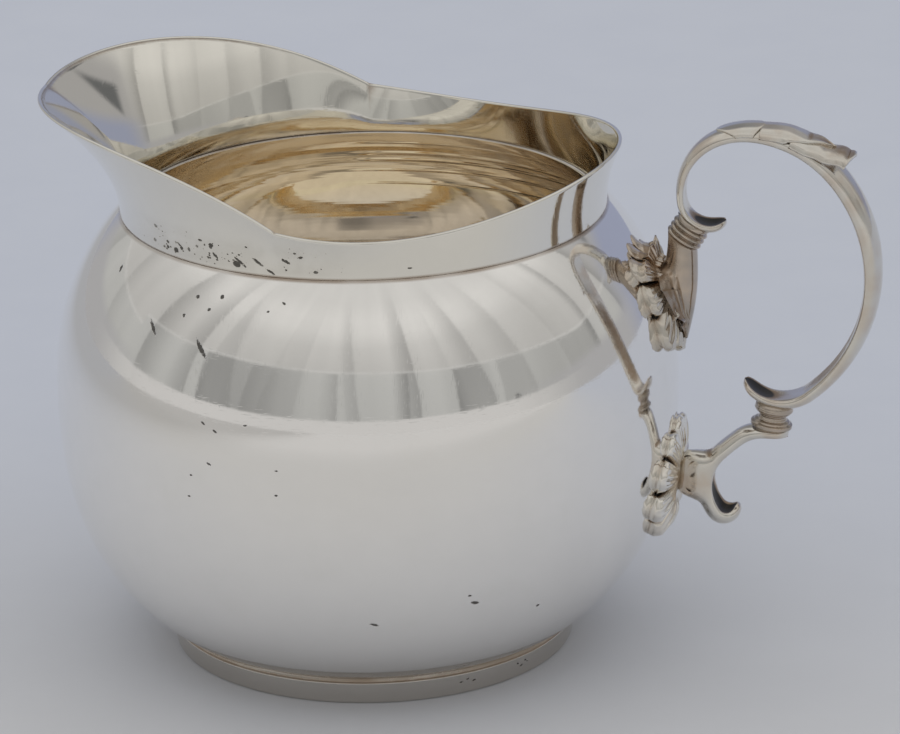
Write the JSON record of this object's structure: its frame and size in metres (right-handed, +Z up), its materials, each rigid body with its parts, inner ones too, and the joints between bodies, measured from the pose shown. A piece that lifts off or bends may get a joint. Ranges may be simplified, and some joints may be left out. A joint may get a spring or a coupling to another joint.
{
  "type": "cream jug",
  "caption": "Round silver cream jug with a gilt inside, a broad shaped pouring lip, a plain foot ring and a scroll handle on leaf mounts.",
  "frame": {"origin": "centre of the foot ring's resting face", "axes": "+Z up along the body's axis, +X towards the handle, -X towards the lip"},
  "size_m": [0.1129, 0.084, 0.0769],
  "materials": {
    "silver_sheet": "polished silver sheet with fine scratches",
    "silver_casting": "cast silver, polished on the high parts and toned in the hollows",
    "gold_wash": "satin gold wash with turned rings"
  },
  "bodies": {
    "root": {"body_shell": "silver_sheet", "gilt_lining": "gold_wash", "neck_collar": "silver_sheet", "foot_ring": "silver_sheet", "upper_leaf": "silver_casting", "upper_bracket": "silver_casting", "ring_collar": "silver_casting", "handle_loop": "silver_casting", "thumb_leaf": "silver_casting", "lower_knuckle": "silver_casting", "lower_bracket": "silver_casting", "lower_palmette": "silver_casting"}
  },
  "joints": []
}
